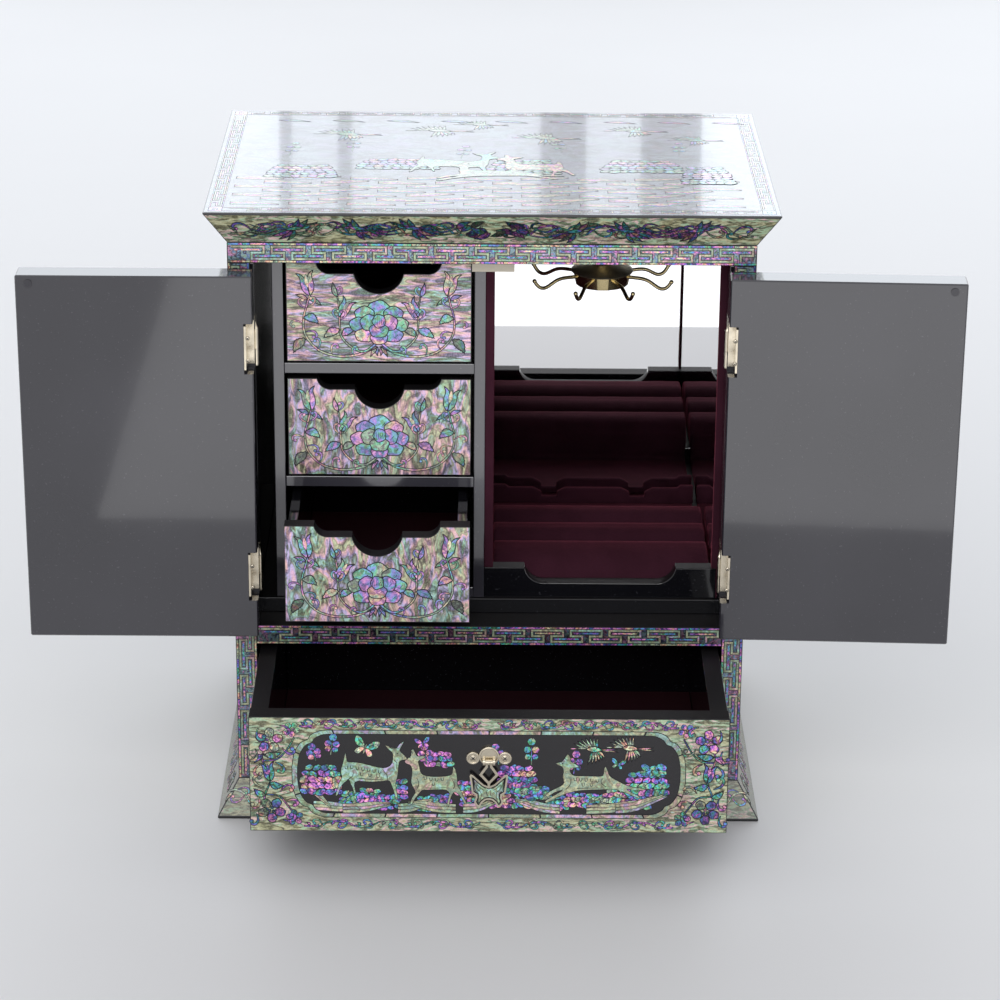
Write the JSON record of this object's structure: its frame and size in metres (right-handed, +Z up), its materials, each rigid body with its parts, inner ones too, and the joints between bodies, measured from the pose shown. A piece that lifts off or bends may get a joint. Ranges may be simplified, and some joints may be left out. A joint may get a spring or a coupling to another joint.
{
  "type": "jewelry box",
  "caption": "Tabletop jewellery chest with hinged doors, pearl-faced drawers, a mirrored velvet compartment with ring rolls, a hanging necklace carousel and a wide drawer.",
  "frame": {"origin": "centre of the underside, between the plinth sides and between the plinth front and the back", "axes": "+Z up, front faces -Y, +X to the right seen from the front"},
  "size_m": [0.5775, 0.3418, 0.4076],
  "materials": {
    "black_lacquer": "gloss black lacquer on wood",
    "pearl_front": "mother of pearl set in clear gloss lacquer on wood",
    "wine_velvet": "wine red velvet over board",
    "mirror_glass": "silvered glass",
    "pale_brass": "polished pale brass plating",
    "catch_plastic": "matt cream case of a magnet catch",
    "strike_steel": "black painted steel disc"
  },
  "bodies": {
    "case": {"back_mirror": "mirror_glass", "back_panel": "black_lacquer", "bank_divider": "black_lacquer", "bank_left_panel": "black_lacquer", "bank_shelves": "black_lacquer", "base_panel": "black_lacquer", "bottom_board": "black_lacquer", "carousel_stem": "pale_brass", "ceiling_board": "black_lacquer", "compartment_left_velvet": "wine_velvet", "compartment_right_velvet": "wine_velvet", "cornice_front": "pearl_front", "cornice_left": "pearl_front", "cornice_right": "pearl_front", "front_lip": "black_lacquer", "hinge_fixed_leaves": "pale_brass", "hinge_pins": "pale_brass", "insert_base_board": "black_lacquer", "left_jamb_liner": "black_lacquer", "left_side_board": "black_lacquer", "magnet_catch": "catch_plastic", "middle_shelf": "black_lacquer", "plinth_front": "pearl_front", "plinth_left": "pearl_front", "plinth_right": "pearl_front", "right_jamb_liner": "black_lacquer", "right_side_board": "black_lacquer", "ring_roll_tray": "wine_velvet", "side_mirror": "mirror_glass", "top_panel": "pearl_front", "well_partition": "wine_velvet"},
    "left_door": {"left_door_panel": "black_lacquer", "left_hinge_leaves": "pale_brass", "left_door_strike": "strike_steel", "left_door_pull_plate": "pale_brass"},
    "right_door": {"right_door_panel": "black_lacquer", "right_hinge_leaves": "pale_brass", "right_door_strike": "strike_steel", "right_door_pull_plate": "pale_brass"},
    "left_door_pull": {"left_door_pull_butterfly": "pale_brass"},
    "right_door_pull": {"right_door_pull_butterfly": "pale_brass"},
    "small_drawer_1": {"small_drawer_1_front": "pearl_front", "small_drawer_1_box": "black_lacquer", "small_drawer_1_felt": "wine_velvet"},
    "small_drawer_2": {"small_drawer_2_front": "pearl_front", "small_drawer_2_box": "black_lacquer", "small_drawer_2_felt": "wine_velvet"},
    "small_drawer_3": {"small_drawer_3_front": "pearl_front", "small_drawer_3_box": "black_lacquer", "small_drawer_3_felt": "wine_velvet"},
    "wide_drawer": {"wide_drawer_front": "pearl_front", "wide_drawer_box": "black_lacquer", "wide_drawer_felt": "wine_velvet", "wide_drawer_pull_plate": "pale_brass"},
    "wide_drawer_pull": {"wide_drawer_pull_butterfly": "pale_brass"},
    "carousel": {"carousel_hub": "pale_brass", "carousel_hooks": "pale_brass"}
  },
  "joints": [
    {"name": "left_door_hinge", "type": "hinge", "parent": "case", "child": "left_door", "pos_m": [-0.1451, -0.1115, 0.2512], "axis": [0, 0, -1], "range_deg": [-180, 0]},
    {"name": "right_door_hinge", "type": "hinge", "parent": "case", "child": "right_door", "pos_m": [0.1451, -0.1115, 0.2512], "axis": [0, 0, 1], "range_deg": [-177.6, 2.4]},
    {"name": "small_drawer_1_slide", "type": "slide", "parent": "case", "child": "small_drawer_1", "axis": [0, -1, 0], "range_m": [0, 0.12]},
    {"name": "small_drawer_2_slide", "type": "slide", "parent": "case", "child": "small_drawer_2", "axis": [0, -1, 0], "range_m": [0, 0.12]},
    {"name": "small_drawer_3_slide", "type": "slide", "parent": "case", "child": "small_drawer_3", "axis": [0, -1, 0], "range_m": [-0.0721, 0]},
    {"name": "wide_drawer_slide", "type": "slide", "parent": "case", "child": "wide_drawer", "axis": [0, -1, 0], "range_m": [-0.105, 0.045]},
    {"name": "carousel_spin", "type": "hinge", "parent": "case", "child": "carousel", "pos_m": [0.072, 0.0149, 0.3251], "axis": [0, 0, 1], "continuous": true},
    {"name": "wide_drawer_pull_swing", "type": "hinge", "parent": "wide_drawer", "child": "wide_drawer_pull", "pos_m": [0, -0.2175, 0.0872], "axis": [-1, 0, 0], "range_deg": [0, 95]},
    {"name": "left_door_pull_swing", "type": "hinge", "parent": "left_door", "child": "left_door_pull", "pos_m": [-0.2734, -0.1105, 0.2598], "axis": [1, 0, 0], "range_deg": [0, 95]},
    {"name": "right_door_pull_swing", "type": "hinge", "parent": "right_door", "child": "right_door_pull", "pos_m": [0.27333, -0.11587, 0.2598], "axis": [0.9991, -0.0419, 0], "range_deg": [0, 95]}
  ],
  "couplings": [
    {"joint": "small_drawer_3_slide", "follows": "left_door_hinge", "m_per_rad": 0.022918}
  ]
}
